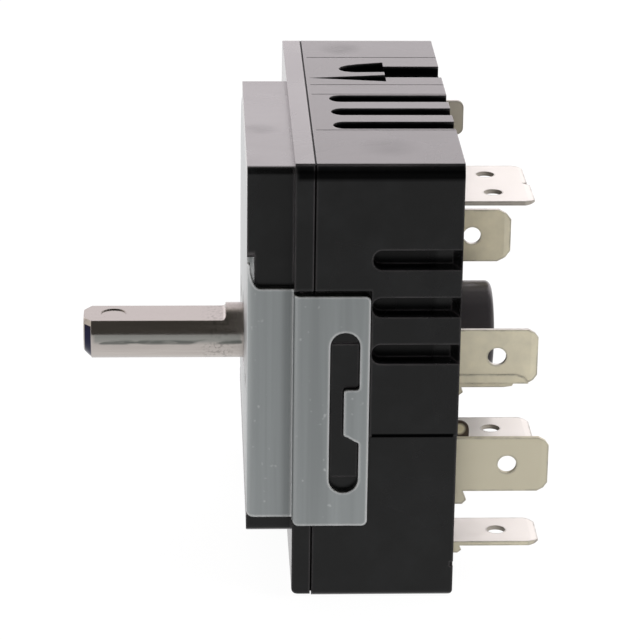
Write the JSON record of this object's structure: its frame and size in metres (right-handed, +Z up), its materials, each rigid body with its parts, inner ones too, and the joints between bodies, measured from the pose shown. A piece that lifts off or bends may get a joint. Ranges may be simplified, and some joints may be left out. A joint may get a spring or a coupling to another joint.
{
  "type": "range infinite switch",
  "caption": "Rotary energy regulator for an electric range: closed box with a D shaft that is pushed and turned, a steel mounting bracket and push-on tabs at the back.",
  "frame": {"origin": "on the shaft's axis at the front face of the mounting bracket, midway between its two tapped holes", "axes": "-X points out along the shaft, +X towards the terminals, -Y is the side with the slots, +Z is up; it lies on its flat bottom wall"},
  "size_m": [0.0512, 0.05, 0.05],
  "materials": {
    "black_plastic": "moulded, glossy",
    "zinc_steel": "zinc plated sheet",
    "shaft_steel": "nickel plated, drawn",
    "spring_steel": "oiled spring steel",
    "cam_plastic": "moulded, natural",
    "bimetal": "rolled strip",
    "mica": "mica sleeve wound with wire",
    "ceramic": "fired",
    "brass_screw": "turned",
    "bronze_blade": "rolled strip",
    "silver_contact": "dull silver",
    "tinned_tab": "tinned, stamped"
  },
  "bodies": {
    "housing": {"base_housing": "black_plastic", "front_cover": "black_plastic", "mounting_bracket": "zinc_steel", "pivot_pin": "shaft_steel", "snap_fixed_contact": "silver_contact", "zone_fixed_contact": "silver_contact", "terminal_double": "tinned_tab", "terminal_upper": "tinned_tab", "terminal_middle": "tinned_tab", "terminal_inner": "tinned_tab", "terminal_lower": "tinned_tab", "terminal_bottom": "tinned_tab", "terminal_tail": "tinned_tab"},
    "cam": {"control_cam": "cam_plastic"},
    "shaft": {"drive_shaft": "shaft_steel", "shaft_clip": "spring_steel", "push_spring": "spring_steel"},
    "lever": {"follower_lever": "zinc_steel", "bimetal_strip": "bimetal", "bimetal_heater": "mica", "push_pin": "ceramic", "calibration_screw": "brass_screw"},
    "snap": {"snap_blade": "bronze_blade", "snap_moving_contact": "silver_contact"},
    "zone": {"zone_blade": "bronze_blade", "zone_moving_contact": "silver_contact"}
  },
  "joints": [
    {"name": "cam_turn", "type": "hinge", "parent": "housing", "child": "cam", "pos_m": [0, 0, 0], "axis": [1, 0, 0], "range_deg": [0, 270]},
    {"name": "shaft_push", "type": "slide", "parent": "cam", "child": "shaft", "axis": [1, 0, 0], "range_m": [0, 0.0022], "stiffness_N_per_m": 800, "springref_m": -0.003, "deforming": ["push_spring"]},
    {"name": "lever_lift", "type": "hinge", "parent": "housing", "child": "lever", "pos_m": [0.0105, 0.016, 0.0115], "axis": [-1, 0, 0], "range_deg": [0, 5.4]},
    {"name": "zone_close", "type": "hinge", "parent": "housing", "child": "zone", "pos_m": [0.01245, -0.0207, -0.01115], "axis": [-1, 0, 0], "range_deg": [0, 2.82]},
    {"name": "snap_flip", "type": "hinge", "parent": "housing", "child": "snap", "pos_m": [0.01245, 0.0162, 0.01815], "axis": [-1, 0, 0], "range_deg": [0, 2.1], "stiffness_Nm_per_rad": 0.004}
  ],
  "couplings": [
    {"joint": "lever_lift", "follows": "cam_turn", "ratio": 0.01978},
    {"joint": "zone_close", "follows": "cam_turn", "ratio": 0.0102}
  ]
}
